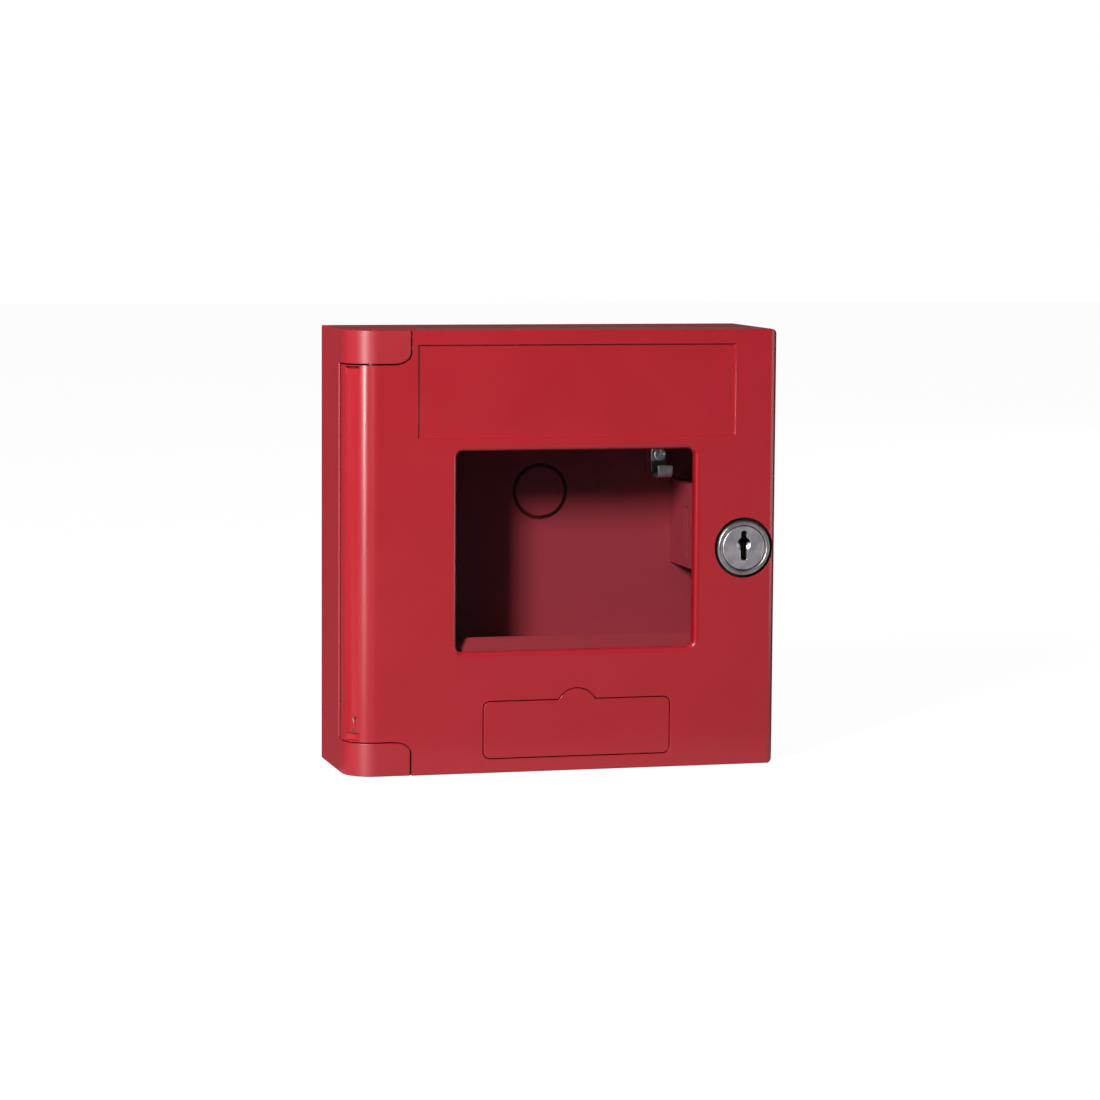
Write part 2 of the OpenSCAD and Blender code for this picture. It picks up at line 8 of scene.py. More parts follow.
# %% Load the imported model
import math
import json
import bpy
import bmesh
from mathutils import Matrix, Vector

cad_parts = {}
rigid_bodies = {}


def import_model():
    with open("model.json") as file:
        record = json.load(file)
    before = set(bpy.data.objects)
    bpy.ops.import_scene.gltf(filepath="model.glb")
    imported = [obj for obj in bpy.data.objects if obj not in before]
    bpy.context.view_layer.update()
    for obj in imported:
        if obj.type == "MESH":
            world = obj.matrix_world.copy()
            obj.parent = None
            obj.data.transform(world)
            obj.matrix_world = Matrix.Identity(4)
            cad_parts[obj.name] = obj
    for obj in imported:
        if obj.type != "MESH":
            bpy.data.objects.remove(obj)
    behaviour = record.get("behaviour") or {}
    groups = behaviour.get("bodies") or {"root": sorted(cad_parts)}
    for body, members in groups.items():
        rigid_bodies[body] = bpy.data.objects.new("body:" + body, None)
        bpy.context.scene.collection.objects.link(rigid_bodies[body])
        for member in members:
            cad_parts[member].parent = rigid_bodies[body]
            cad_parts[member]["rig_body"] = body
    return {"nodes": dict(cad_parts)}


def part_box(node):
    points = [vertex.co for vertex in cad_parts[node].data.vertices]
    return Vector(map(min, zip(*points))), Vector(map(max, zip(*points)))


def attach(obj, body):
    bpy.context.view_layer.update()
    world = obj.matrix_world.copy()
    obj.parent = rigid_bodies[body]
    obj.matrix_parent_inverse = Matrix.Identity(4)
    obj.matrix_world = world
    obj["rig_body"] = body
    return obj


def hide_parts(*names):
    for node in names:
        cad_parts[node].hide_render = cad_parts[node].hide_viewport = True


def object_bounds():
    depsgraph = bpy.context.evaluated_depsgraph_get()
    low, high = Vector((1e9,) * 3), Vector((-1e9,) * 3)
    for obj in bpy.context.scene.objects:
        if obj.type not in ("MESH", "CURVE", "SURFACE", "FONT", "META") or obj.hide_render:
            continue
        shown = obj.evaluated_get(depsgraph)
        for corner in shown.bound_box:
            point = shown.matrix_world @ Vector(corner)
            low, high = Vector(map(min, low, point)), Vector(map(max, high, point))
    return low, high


bpy.context.scene.view_settings.view_transform = "Standard"
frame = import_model()
cad_box = [list(corner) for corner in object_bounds()]
MM = 0.001
low, high = Vector(cad_box[0]), Vector(cad_box[1])
print("box of the model in mm:", [round(size / MM, 2) for size in high - low])

# %% [markdown]
# ## The camera
# The picture was taken from a little left of the box and a little above it, from about a
# metre away. A long lens keeps the sides nearly parallel. The camera is aimed with
# to_track_quat, and then rolled by a third of a degree, because the photograph is not quite level.

# %% Place the camera
FOCAL_LENGTH, SENSOR_WIDTH, ROLL = 119.82, 36, 0.3737
eye = Vector((-0.29192, -1.13709, 0.11694))
aim = Vector((-0.00477, -0.041, 0.00051))
lens = bpy.data.cameras.new("camera")
lens.lens = FOCAL_LENGTH
lens.sensor_width = SENSOR_WIDTH
camera = bpy.data.objects.new("camera", lens)
bpy.context.collection.objects.link(camera)
camera.location = eye
camera.rotation_mode = "QUATERNION"
camera.rotation_quaternion = (aim - eye).to_track_quat("-Z", "Y")
camera.rotation_mode = "XYZ"
camera.rotation_euler.rotate_axis("Z", math.radians(ROLL))
bpy.context.scene.camera = camera
print("camera distance in m:", round((aim - eye).length, 3))

# %% [markdown]
# ## Writing a material as sums
# A material is a tree of nodes. Joined by hand, a simple sum takes three nodes and five links.
# The Wire class below wraps one socket and overloads plus, minus, times, power and abs, so that
# a sum on sockets adds its own Math nodes. Every other node comes from Finish.node, which takes
# the kind of node, its settings, and what goes into its sockets.

# %% A class for sockets and one for materials
class Wire:
    """One output socket that can be used in a sum."""

    def __init__(self, finish, socket):
        self.finish, self.socket = finish, socket

    def math(self, operation, a, b):
        return self.finish.node("ShaderNodeMath", {"operation": operation}, {0: a, 1: b})

    def __add__(self, other):
        return self.math("ADD", self, other)

    def __sub__(self, other):
        return self.math("SUBTRACT", self, other)

    def __rsub__(self, other):
        return self.math("SUBTRACT", other, self)

    def __mul__(self, other):
        return self.math("MULTIPLY", self, other)

    def __pow__(self, other):
        return self.math("POWER", self, other)

    def __abs__(self):
        return self.math("ABSOLUTE", self, 0)

    __radd__ = __add__
    __rmul__ = __mul__


class Finish:
    """A material that is being written."""

    def __init__(self, name):
        self.material = bpy.data.materials.new(name)
        self.material.use_nodes = True
        self.tree = self.material.node_tree
        self.tree.nodes.clear()
        self.out = self.tree.nodes.new("ShaderNodeOutputMaterial")
        self.place = self.node("ShaderNodeTexCoord", {}, {}, "Object")

    def node(self, kind, settings, values, out=0):
        """Adds a node, and gives back the output socket that out names."""
        made = self.tree.nodes.new(kind)
        for key, value in settings.items():
            setattr(made, key, value)
        for key, value in values.items():
            if isinstance(value, Wire):
                self.tree.links.new(value.socket, made.inputs[key])
            else:
                made.inputs[key].default_value = value
        return Wire(self, made.outputs[out])

    def surface(self, shader):
        """Ends the tree in this shader."""
        self.tree.links.new(shader.socket, self.out.inputs["Surface"])
        return self.material


def tone(red, green, blue):
    """A colour read from a screen, as the straight light value that a shader takes."""
    light = [((c / 255 + 0.055) / 1.055) ** 2.4 if c > 10 else c / 3295
             for c in (red, green, blue)]
    return (*light, 1.0)


print("door red as light:", [round(c, 4) for c in tone(178, 33, 44)])

# %% [markdown]
# ## Noise, spread and colour mixes
# Real plastic and metal are never quite even. Small helpers cover most of it: a noise of a
# given grain in millimetres, a spread that turns it into a range, a mix of two colours, and a
# dent map. The last four read the place of a point, measure how far it is from an axis, and
# compare either with a limit, so that a finish can change there.

# %% Helpers for uneven surfaces
NOISE_FALL = 0.55


def grain(finish, size_mm, detail=2.0, place=None):
    """Noise whose blotches are about size_mm across, from 0 to 1."""
    return finish.node("ShaderNodeTexNoise", {}, {
        "Vector": place or finish.place, "Scale": 1 / MM / size_mm,
        "Detail": detail, "Roughness": NOISE_FALL}, "Fac")


def spread(finish, wire, low_in, high_in, low_out, high_out):
    """The part of a wire between two values, stretched to two others."""
    return finish.node("ShaderNodeMapRange", {}, {
        "Value": wire, "From Min": low_in, "From Max": high_in,
        "To Min": low_out, "To Max": high_out}, "Result")


def blend_colour(finish, factor, first, second):
    """The first colour where the factor is 0, and the second where it is 1."""
    settings = {"data_type": "RGBA"}
    return finish.node("ShaderNodeMix", settings, {"Factor": factor, 6: first, 7: second}, 2)


def bump(finish, height, depth_mm, strength):
    """A dent map whose full height is depth_mm."""
    return finish.node("ShaderNodeBump", {}, {
        "Height": height, "Distance": depth_mm * MM, "Strength": strength}, "Normal")


def principled(finish, **values):
    """The all-round shader. Base_Color stands for its socket Base Color."""
    sockets = {key.replace("_", " "): value for key, value in values.items()}
    return finish.node("ShaderNodeBsdfPrincipled", {}, sockets)


def place_mm(finish):
    """The place on a piece in millimetres, as three wires."""
    split = finish.node("ShaderNodeSeparateXYZ", {}, {0: finish.place}).socket.node
    return [Wire(finish, split.outputs[axis]) * (1 / MM) for axis in range(3)]


def above(finish, wire, limit, blur=0.08):
    """1 where a wire is over a limit, 0 where it is under it."""
    return spread(finish, wire, limit - blur, limit + blur, 0, 1)


def within(finish, wire, lowest, highest, blur=0.08):
    """1 where a wire lies between two limits."""
    return above(finish, wire, lowest, blur) * (1 - above(finish, wire, highest, blur))


def away(a, b, middle_a, middle_b):
    """The distance from a line that runs along the third axis."""
    return ((a - middle_a) ** 2 + (b - middle_b) ** 2) ** 0.5


# %% [markdown]
# ## Places on the box
# Some places have a finish of their own. They could be painted on an image, but then each part
# would need a flat map. A mask made of sums on the place of a point needs none: it is 1 in the
# place and 0 outside it. All limits are in millimetres, in the same frame as the model. A name
# that ends in X, Y or Z holds a place or a pair of limits along that axis, and LOCK_GAP,
# DISC_GROOVE and MARK_DEPTH hold distances from an axis.

# %% Masks for the plastics
FRONT = -41.0
WINDOW_X, WINDOW_Z = (-34.4, 42.0), (-31.0, 31.5)
REVEAL_X, REVEAL_Y = (WINDOW_X[1] - 0.3, WINDOW_X[1] + 0.7), (-40.5, -37.0)
SOFT_EDGE_X = (WINDOW_X[1] - 0.3, WINDOW_X[1] + 1.8)
LEDGE_X, LEDGE_Z = (-38, 46), (-60, -26)
LOCK_X, LOCK_GAP = 58.4, (8.4, 9.7)
HINGE_X, HINGE_Y = -59.4, -31.4
MARK_X, MARK_Z, MARK_DEPTH = -60, (-52.4, -50.2), (9.0, 9.45)
DISC_X, DISC_Z, DISC_GROOVE, PLATE_Y = 1.9, 15.5, (7.85, 9.15), (-2.45, -0.5)
INNER_HALF, INNER_Y = 67.7, (-27.2, -0.6)


def inside_of_case(f):
    """1 on the inner faces of the case, a little way into the walls."""
    x, y, z = place_mm(f)
    between_walls = (1 - above(f, abs(x), INNER_HALF)) * (1 - above(f, abs(z), INNER_HALF))
    return between_walls * within(f, y, *INNER_Y)


def groove_of_disc(f):
    """1 in the groove round the knock-out disc."""
    x, y, z = place_mm(f)
    return within(f, away(x, z, DISC_X, DISC_Z), *DISC_GROOVE) * within(f, y, *PLATE_Y)


def ledge_of_door(f):
    """1 on the ledge behind the foot of the glass."""
    x, y, z = place_mm(f)
    return within(f, x, *LEDGE_X) * within(f, z, *LEDGE_Z) * above(f, y, FRONT + 3.6)


def gap_round_lock(f):
    """1 in the narrow gap between the door and the head of the lock."""
    x, y, z = place_mm(f)
    return within(f, away(x, z, LOCK_X, 0), *LOCK_GAP) * above(f, y, FRONT + 0.2)


def hinge_mark(f):
    """1 in the small pointer on the round side."""
    x, y, z = place_mm(f)
    sunk = within(f, away(x, y, HINGE_X, HINGE_Y), *MARK_DEPTH)
    return sunk * within(f, z, *MARK_Z) * (1 - above(f, x, MARK_X))


def reveal_of_window(f):
    """1 on the wall of the window at the right."""
    x, y, z = place_mm(f)
    at_right = within(f, x, *REVEAL_X, 0.2)
    in_height = within(f, z, WINDOW_Z[0], WINDOW_Z[1] - 0.1)
    return at_right * in_height * within(f, y, *REVEAL_Y, 0.3)


def dull_of_door(f):
    """1 on the ledge and on the soft edge at the right of the window."""
    x, y, z = place_mm(f)
    in_height = within(f, z, WINDOW_Z[0] + 1, WINDOW_Z[1] - 0.1)
    soft_edge = within(f, x, *SOFT_EDGE_X) * in_height * (1 - above(f, y, REVEAL_Y[1]))
    return ledge_of_door(f) + soft_edge


print("window in mm:", WINDOW_X[1] - WINDOW_X[0], "by", WINDOW_Z[1] - WINDOW_Z[0])

# %% [markdown]
# ## Two red plastics
# The door and the case are moulded from the same red, but the moulds differ. The door comes
# from a finely polished mould and shines softly, while the case and the two hinge ends come
# from an etched one, so they are duller and scatter more light. The inside of the case and the
# ledge behind the foot of the glass are matt, and their colour is painted darker and pinker: a
# painted sheen, and on the inside of the case also painted shade. The soft edge at the right of
# the window hardly shines either. The gap round the lock, the groove of the disc, the pointer
# and the right wall of the window have a much deeper red, which is painted shade in these
# narrow places.
# Everything else is noise: blotches about two centimetres wide, because the melt cools unevenly,
# specks of about a millimetre, a skin whose dents are half a millimetre wide or less, and faint
# rub marks that only change the gloss.

# %% Red plastic
BLOTCH_MM, SPECK_MM, RUB_MM = 22, 0.9, 0.7
HARDLY_ANY_SHINE = 0.08


def red_plastic(name, deep, pale, gloss, grain_mm, grain_depth, shine, places, dull):
    """Moulded plastic. Each of the places has a mask, its own colour and an added roughness.
    Where the mask dull is 1, the surface has hardly any shine."""
    f = Finish(name)
    blotch = grain(f, BLOTCH_MM)
    speck = grain(f, SPECK_MM, 3)
    rubs = f.node("ShaderNodeMapping", {}, {
        "Vector": f.place, "Rotation": (0, 0.3, 0), "Scale": (1, 1, 0.06)})
    rubbed = spread(f, grain(f, RUB_MM, 3, rubs), 0.62, 0.74, 0, 1)
    mottle = spread(f, blotch * 0.7 + speck * 0.3, 0.15, 0.85, 0, 1)
    colour = blend_colour(f, mottle, deep, pale)
    rough = spread(f, blotch, 0.15, 0.85, gloss[0], gloss[1]) + rubbed * 0.03
    for mask, its_colour, more_rough in places:
        there = mask(f)
        colour = blend_colour(f, there, colour, its_colour)
        rough = rough + there * more_rough
    skin = bump(f, grain(f, grain_mm, 2), grain_depth, 0.6)
    shiny, matt = [principled(f, Base_Color=colour, Roughness=rough, Normal=skin, IOR=1.48,
                              Specular_IOR_Level=level) for level in (shine, HARDLY_ANY_SHINE)]
    return f.surface(f.node("ShaderNodeMixShader", {}, {0: dull(f), 1: shiny, 2: matt}))


# The ledge has a painted sheen, and the gap round the lock, the pointer and the right wall of the
# window have painted shade.
door_red = red_plastic(
    "door_plastic", deep=tone(178, 33, 44), pale=tone(186, 39, 50), gloss=(0.2, 0.245),
    grain_mm=0.5, grain_depth=0.006, shine=0.4, dull=dull_of_door,
    places=[(ledge_of_door, tone(160, 52, 61), 0.35), (gap_round_lock, tone(40, 8, 12), 0.2),
            (hinge_mark, tone(96, 4, 10), 0.2), (reveal_of_window, tone(146, 16, 24), 0.2)])
# The inside of the case has a painted sheen and painted shade, and the groove of the disc has
# painted shade.
case_red = red_plastic(
    "case_plastic", deep=tone(174, 31, 43), pale=tone(182, 39, 51), gloss=(0.36, 0.42),
    grain_mm=0.35, grain_depth=0.012, shine=0.48, dull=inside_of_case,
    places=[(inside_of_case, tone(160, 53, 66), 0.2), (groove_of_disc, tone(92, 12, 22), 0.2)])
print("plastics:", door_red.name, case_red.name)

# %% [markdown]
# ## Metals
# The lock is cast zinc with a nickel plate, the clips and screws are plated steel, and the
# small wafers in the lock are brass whose colour is painted very dark, as shade inside the key
# slot. Each is a metal with its own colour. Fine lines come from noise that is stretched along
# one axis, and tarnish from a slow blotch in the colour and the roughness. Two places get
# painted shade from masks: the key slot with the upper part of the dish round it, and the strip
# of the hook below its screw.

# %% Metal
STAIN_MM = 4
# The colour of the painted shade in the key slot and on the hook's strip.
PAINTED_SHADE = tone(14, 10, 12)
SLOT_HALF, SLOT_Z = 0.98, (-3.9, 5.3)
DISH_Z, DISH_RADIUS, DISH_DARK_ABOVE = 1.2, 2.25, 1.4
STRIP_Y, SCREW_FOOT_Z = -8, 25.2


def key_slot(f):
    """1 in the key slot and in the upper part of the dish round it, where shade is painted."""
    x, y, z = place_mm(f)
    between_sides = 1 - above(f, abs(x - LOCK_X), SLOT_HALF, 0.04)
    slot = between_sides * within(f, z, *SLOT_Z) * above(f, y, FRONT + 0.1)
    in_dish = 1 - above(f, away(x, z, LOCK_X, DISH_Z), DISH_RADIUS)
    dish = in_dish * above(f, z, DISH_DARK_ABOVE, 0.5) * above(f, y, FRONT - 0.15)
    return spread(f, slot + dish, 0, 1, 0, 1)


def hook_shadow(f):
    """0.8 on the hook's strip below its screw, where shade is painted, and 0 on its foot, tip and
    upper end.
    """
    y, z = place_mm(f)[1:]
    return above(f, y, STRIP_Y, 0.3) * (1 - above(f, z, SCREW_FOOT_Z, 0.3)) * 0.8


def metal(name, dark, bright, gloss, lines, line_mm=0.12, depth=0.004, shade=None):
    """Plated metal. A small number in lines stretches the fine lines along that axis."""
    f = Finish(name)
    along = f.node("ShaderNodeMapping", {}, {"Vector": f.place, "Scale": lines})
    brushed = grain(f, line_mm, 2, along)
    stain = grain(f, STAIN_MM, 3)
    tarnish = spread(f, stain * 0.6 + brushed * 0.4, 0.35, 0.65, 0, 1)
    colour = blend_colour(f, tarnish, dark, bright)
    rough = spread(f, stain, 0.3, 0.7, gloss[0], gloss[1]) + brushed * 0.06
    if shade:
        colour = blend_colour(f, shade(f), colour, PAINTED_SHADE)
    return f.surface(principled(f, Base_Color=colour, Metallic=1.0, Roughness=rough,
                                Normal=bump(f, brushed, depth, 0.7)))


lock_zinc = metal("ring_nickel", tone(118, 112, 114), tone(158, 150, 150), (0.29, 0.36),
                  lines=(1, 1, 1))
plug_zinc = metal("face_nickel", tone(148, 142, 149), tone(184, 178, 183), (0.3, 0.38),
                  lines=(1, 1, 0.05), shade=key_slot)
spring_steel = metal("bright_steel", tone(160, 162, 166), tone(208, 210, 214), (0.29, 0.36),
                     lines=(0.06, 1, 1))
zinc_steel = metal("plated_steel", tone(150, 154, 160), tone(206, 208, 206), (0.32, 0.46),
                   lines=(1, 1, 1), line_mm=0.4)
hook_steel = metal("steel_with_painted_shade", tone(150, 150, 154), tone(206, 204, 206), (0.32, 0.46),
                   lines=(1, 1, 1), line_mm=0.4, shade=hook_shadow)
# The wafers are brass, coloured very dark as painted shade inside the key slot.
wafer_brass = metal("brass_with_painted_shade", tone(44, 34, 20), tone(66, 52, 32), (0.3, 0.38),
                    lines=(0.1, 1, 1))
metals = (lock_zinc, plug_zinc, spring_steel, zinc_steel, hook_steel, wafer_brass)
print("metals:", [finish.name for finish in metals])

# %% [markdown]
# ## Glass
# A pane this thin hardly bends light. If it did so in the shader, the renderer would treat it
# as a lens and put the inside of the box in shadow. So the pane lets light straight through,
# taking about a twenty-fifth of it at each face, and a Fresnel factor adds a mirror that grows
# towards a glancing view. The photograph shows almost no reflection in the pane, so the mirror
# is kept weak. A faint film of dust makes it uneven.

# %% Pane glass
PASSED_BY_A_FACE = (0.958, 0.963, 0.96, 1)
MIRROR_SHARE, FILM_SHARE = 0.05, 0.001


def pane_finish(name):
    """Thin clear glass that throws no shadow of its own."""
    f = Finish(name)
    film = spread(f, grain(f, 9, 4), 0.45, 0.75, 0, 1)
    clear = f.node("ShaderNodeBsdfTransparent", {}, {"Color": PASSED_BY_A_FACE})
    shine = principled(f, Base_Color=tone(235, 240, 238), Roughness=film * 0.05 + 0.03,
                       Metallic=1.0)
    edge = f.node("ShaderNodeFresnel", {}, {"IOR": 1.5}, "Fac")
    amount = edge * MIRROR_SHARE + film * FILM_SHARE
    return f.surface(f.node("ShaderNodeMixShader", {}, {0: amount, 1: clear, 2: shine}))


pane_glass = pane_finish("clear_glass")
print("glass:", pane_glass.name)

# %% [markdown]
# ## Copies with soft edges
# No moulded part has a knife edge: the plastic leaves the mould with edges a few tenths of a
# millimetre round, and they catch the light as thin bright lines. The model's own meshes have
# sharp edges, and they aren't to be changed. So each part but the pane and the hook is copied,
# its loose triangles are merged, flat ones are joined, and chosen edges get a weight. One Bevel
# modifier then rounds each edge by its weight, so that a wide edge and a narrow one close in a
# corner.
# Its loop_slide is off: with it on, a new point slides along a neighbouring edge, and where two
# widths meet on a large flat face it can shoot out as a spike.

# %% Helpers for a soft copy
ONE_POINT = 2e-6
STILL_FLAT, SHARP, SMOOTH_BELOW = math.radians(0.4), math.radians(28), math.radians(32)


def deselect():
    """Clears the selection, because an operator acts on all that is selected."""
    for thing in bpy.context.selected_objects:
        thing.select_set(False)


def activate(piece):
    """Makes one piece the only one that is selected."""
    deselect()
    piece.select_set(True)
    bpy.context.view_layer.objects.active = piece


def apply_modifier(piece, kind, **settings):
    """Adds a modifier with these settings and makes its result the mesh."""
    activate(piece)
    modifier = piece.modifiers.new(kind.lower(), kind)
    for key, value in settings.items():
        setattr(modifier, key, value)
    bpy.ops.object.modifier_apply(modifier=modifier.name)


def copy_part(node, name):
    """A merged copy of one part's mesh, with flat triangles joined."""
    mesh = frame["nodes"][node].data.copy()
    mesh.name = name
    mesh.materials.clear()
    piece = bpy.data.objects.new(name, mesh)
    bpy.context.collection.objects.link(piece)
    activate(piece)
    bpy.ops.object.mode_set(mode="EDIT")
    bpy.ops.mesh.select_all(action="SELECT")
    bpy.ops.mesh.remove_doubles(threshold=ONE_POINT)
    bpy.ops.mesh.dissolve_limited(angle_limit=STILL_FLAT)
    bpy.ops.object.mode_set(mode="OBJECT")
    return piece


def smooth(piece):
    """Smooth shading in which the large flat faces decide the slope at their rims."""
    activate(piece)
    bpy.ops.object.shade_smooth_by_angle(angle=SMOOTH_BELOW)
    apply_modifier(piece, "WEIGHTED_NORMAL", mode="FACE_AREA", weight=90, keep_sharp=True,
                   use_face_influence=True)


def soften(piece, width_of, segments=3):
    """Rounds each sharp edge by the width in millimetres that width_of gives for it."""
    shape = bmesh.new()
    shape.from_mesh(piece.data)
    widths = {}
    for edge in shape.edges:
        if len(edge.link_faces) == 2 and edge.calc_face_angle(0) > SHARP:
            middle = (edge.verts[0].co + edge.verts[1].co) / 2
            width = width_of(middle / MM, [face.normal for face in edge.link_faces], edge)
            if width:
                widths[edge.index] = width
    shape.free()
    most = max(widths.values())
    weights = piece.data.attributes.new("bevel_weight_edge", "FLOAT", "EDGE")
    for index, width in widths.items():
        weights.data[index].value = width / most
    apply_modifier(piece, "BEVEL", width=most * MM, limit_method="WEIGHT", segments=segments,
                   use_clamp_overlap=False, loop_slide=False, face_strength_mode="FSTR_ALL")
    smooth(piece)
    print(piece.name, "soft edges:", len(widths), "faces:", len(piece.data.polygons))


def dress(piece, finish, body, node):
    """Gives a piece its material and the body it moves with, and hides the part it stands for."""
    piece.data.materials.clear()
    piece.data.materials.append(finish)
    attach(piece, body)
    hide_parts(node)


# %% [markdown]
# ## The door
# The edge round the window is the softest, with 1.5 mm, because a hand reaches through it. The
# long edges at the opening side are round in the model already and stay as they are. The
# recesses for the lock, the hinge ends and the cover plate only have their sharpness taken off,
# and the recess for the label is softer at its left than at its top. One width for all edges
# would be simpler, but the small recesses would lose their crisp look. So a table gives the
# places on the face, each with its limits from left to right, its limits from foot to top, and
# its width, and an edge takes the width of the first place that it lies in.

# %% Soften the door
OUTER, BEYOND = 68.9, 99.0
ROUND_SIDE_X, ROUND_SIDE_Y, ROUND_SIDE_Z = 66.7, FRONT + 2.3, 68.5
RECESS_HALF, RECESS_RADIUS, RECESS_EDGE = 9.6, 9.7, 0.15
LABEL_X, LABEL_Z = (-47, 56), (35, 65)
ANYWHERE = (-BEYOND, BEYOND)
FACE_EDGES = {
    "window": ((WINDOW_X[0] - 0.1, WINDOW_X[1] + 0.1), (WINDOW_Z[0] - 0.1, WINDOW_Z[1] + 0.1), 1.5),
    "top of the door": (ANYWHERE, (OUTER, BEYOND), 0.4),
    "foot of the door": (ANYWHERE, (-BEYOND, -OUTER), 0.4),
    "recess of the lock": ((48.4, BEYOND), (-10, 10), RECESS_EDGE),
    "upper hinge end": ((-BEYOND, -46.9), (57, BEYOND), 0.1),
    "lower hinge end": ((-BEYOND, -46.9), (-BEYOND, -57), 0.1),
    "left of the label": ((LABEL_X[0], -46.5), LABEL_Z, 0.7),
    "right of the label": ((55, LABEL_X[1]), LABEL_Z, 0.3),
    "foot of the label": (LABEL_X, (LABEL_Z[0], 36), 0.3),
    "top of the label": (LABEL_X, LABEL_Z, 0.15),
    "recess of the cover": (ANYWHERE, (-BEYOND, -42), 0.2),
    "rest of the face": (ANYWHERE, ANYWHERE, 0.25)}


def on_front(at):
    """True in the plane of the door's face."""
    return at.y < FRONT + 0.02


def cut_by_lock(at):
    """True where the lock recess cuts the round edge at the opening side."""
    return abs(at.z) < RECESS_HALF and math.hypot(at.x - LOCK_X, at.z) < RECESS_RADIUS


def door_edge(at, normals, edge):
    """The width for an edge of the door, by the middle of that edge."""
    if at.x > ROUND_SIDE_X and at.y < ROUND_SIDE_Y and abs(at.z) < ROUND_SIDE_Z:
        return RECESS_EDGE if cut_by_lock(at) else 0
    if on_front(at):
        for (left, right), (foot, top), width in FACE_EDGES.values():
            if left < at.x < right and foot < at.z < top:
                return width
    return 0


door_shell = copy_part("door", "door_shell")
soften(door_shell, door_edge)
dress(door_shell, door_red, "door_leaf", "door")

# %% [markdown]
# ## The case
# The case shows its left side, its top and the two fixed hinge ends. Its outer edges are
# rounded a little, the edges of the gap beside the rounded side only lose their burr, and the
# back edges that lie on the wall stay crisp.

# %% Soften the case
HINGE_END_X, HINGE_END_Y, HINGE_END_Z = -45, -26.5, 58.5
BARREL_GAP_X, BARREL_GAP_Y, WALL_Y = -60, -20, -1
CASE_EDGE, HINGE_END_FACE, BURR = 0.3, 0.35, 0.06


def case_edge(at, normals, edge):
    """The width for an edge of the case, by the middle of that edge."""
    if at.x < HINGE_END_X and at.y < HINGE_END_Y and abs(at.z) > HINGE_END_Z:
        return CASE_EDGE if abs(at.z) < OUTER or at.y > FRONT + 0.1 else HINGE_END_FACE
    if at.x < BARREL_GAP_X and at.y < BARREL_GAP_Y:
        return CASE_EDGE if at.x < -OUTER else BURR
    if abs(at.x) > OUTER or abs(at.z) > OUTER:
        return CASE_EDGE if at.y < WALL_Y else 0
    return 0


case_shell = copy_part("rear_case", "case_shell")
soften(case_shell, case_edge)
dress(case_shell, case_red, "case", "rear_case")

# %% [markdown]
# ## The cover plate
# The plate with the thumb tab snaps into the door. It sits in its recess with a gap all round,
# and that gap reads as a thin dark line.

# %% Soften the cover plate
cover = copy_part("cover_plate", "cover_panel")
soften(cover, lambda at, normals, edge: 0.2 if on_front(at) else 0)
dress(cover, door_red, "cover", "cover_plate")

# %% [markdown]
# ## The lock
# The ring and the turning face are cast and plated. The model already gives both a chamfered
# rim, and a dish round the key slot that catches two small glints. Here each rim only loses
# its knife edge. The face turns with the key while the ring stays, so they are two pieces.

# %% Soften the lock
def lock_edge(at, normals, edge):
    """A fine edge on all that shows at the front of the lock."""
    return 0.1 if at.y < FRONT + 0.6 else 0


lock_ring = copy_part("lock_housing", "lock_ring")
soften(lock_ring, lock_edge, 2)
dress(lock_ring, lock_zinc, "door_leaf", "lock_housing")
lock_face = copy_part("lock_plug", "lock_face")
soften(lock_face, lock_edge, 2)
dress(lock_face, plug_zinc, "lock_barrel", "lock_plug")

# %% [markdown]
# ## The pane
# The pane is a plain sheet whose edges were ground, so that they don't cut: they have a narrow
# flat instead of a corner. It is made from a cube that is stretched to the pane's size, and
# whose twelve edges are bevelled by a quarter of a millimetre in edit mode. The part's own box
# gives the place, so the pane fits its pocket.

# %% Model the pane
GROUND_EDGE = 0.25


def box_mm(node):
    """The lowest and the highest corner of a part, in millimetres."""
    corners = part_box(node)
    return corners[0] / MM, corners[1] / MM


def start_mesh(name, add, middle, scale, **settings):
    """A primitive at its size and place, with its origin moved to the origin of the scene."""
    deselect()
    add(location=Vector(middle) * MM, **settings)
    piece = bpy.context.active_object
    piece.name = piece.data.name = name
    piece.scale = scale
    bpy.ops.object.transform_apply(location=True, rotation=True, scale=True)
    return piece


def edit_all(kind):
    """Goes into edit mode with every vertex, edge or face selected."""
    bpy.ops.object.mode_set(mode="EDIT")
    bpy.ops.mesh.select_mode(type=kind)
    bpy.ops.mesh.select_all(action="SELECT")


def clean_up():
    """Joins what lies together, turns all faces outwards and leaves edit mode."""
    bpy.ops.mesh.select_all(action="SELECT")
    bpy.ops.mesh.remove_doubles(threshold=ONE_POINT)
    bpy.ops.mesh.normals_make_consistent(inside=False)
    bpy.ops.object.mode_set(mode="OBJECT")


pane_low, pane_high = box_mm("glass_pane")
pane_size = pane_high - pane_low
pane = start_mesh("pane", bpy.ops.mesh.primitive_cube_add, (pane_low + pane_high) / 2,
                  pane_size * MM, size=1)
edit_all("EDGE")
bpy.ops.mesh.bevel(offset=GROUND_EDGE * MM, segments=1, affect="EDGES")
clean_up()
dress(pane, pane_glass, "door_leaf", "glass_pane")
print("pane in mm:", [round(side, 2) for side in pane_size], "faces:", len(pane.data.polygons))

# %% [markdown]
# ## The key hook
# The hook is a strip of steel, bent twice. A strip can't have a sharp bend: the inner side
# keeps a small radius and the outer side one that is larger by the strip's thickness. So it is
# made the way it is bent. A flat rectangle is pulled down along the wall, spun round the first
# bend, pulled out, spun round the second bend, and pulled up to the tip.

